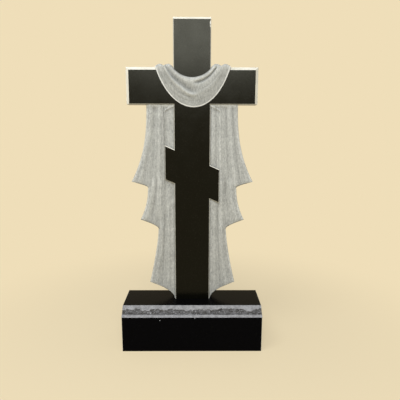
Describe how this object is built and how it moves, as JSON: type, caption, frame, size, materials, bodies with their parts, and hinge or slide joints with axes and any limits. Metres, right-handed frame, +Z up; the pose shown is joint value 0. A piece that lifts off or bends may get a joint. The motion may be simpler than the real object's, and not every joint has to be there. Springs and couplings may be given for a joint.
{
  "type": "shrouded orthodox memorial cross on a plinth",
  "caption": "Upright stone memorial cross with a slanted footrest bar, a carved cloth draped over its arms and hanging behind the upright, on a plinth with a rock-faced front chamfer.",
  "frame": {"origin": "middle of the plinth's underside", "axes": "+Z up the cross, +X to the right along the arms seen from the front, front faces -Y"},
  "size_m": [0.6, 0.2, 1.382],
  "materials": {
    "black_gabbro": "mirror-polished face with pale dry-tooled carving",
    "plinth_gabbro": "mirror-polished with a rock-faced front chamfer"
  },
  "bodies": {
    "root": {"shrouded_cross": "black_gabbro", "plinth": "plinth_gabbro"}
  },
  "joints": []
}
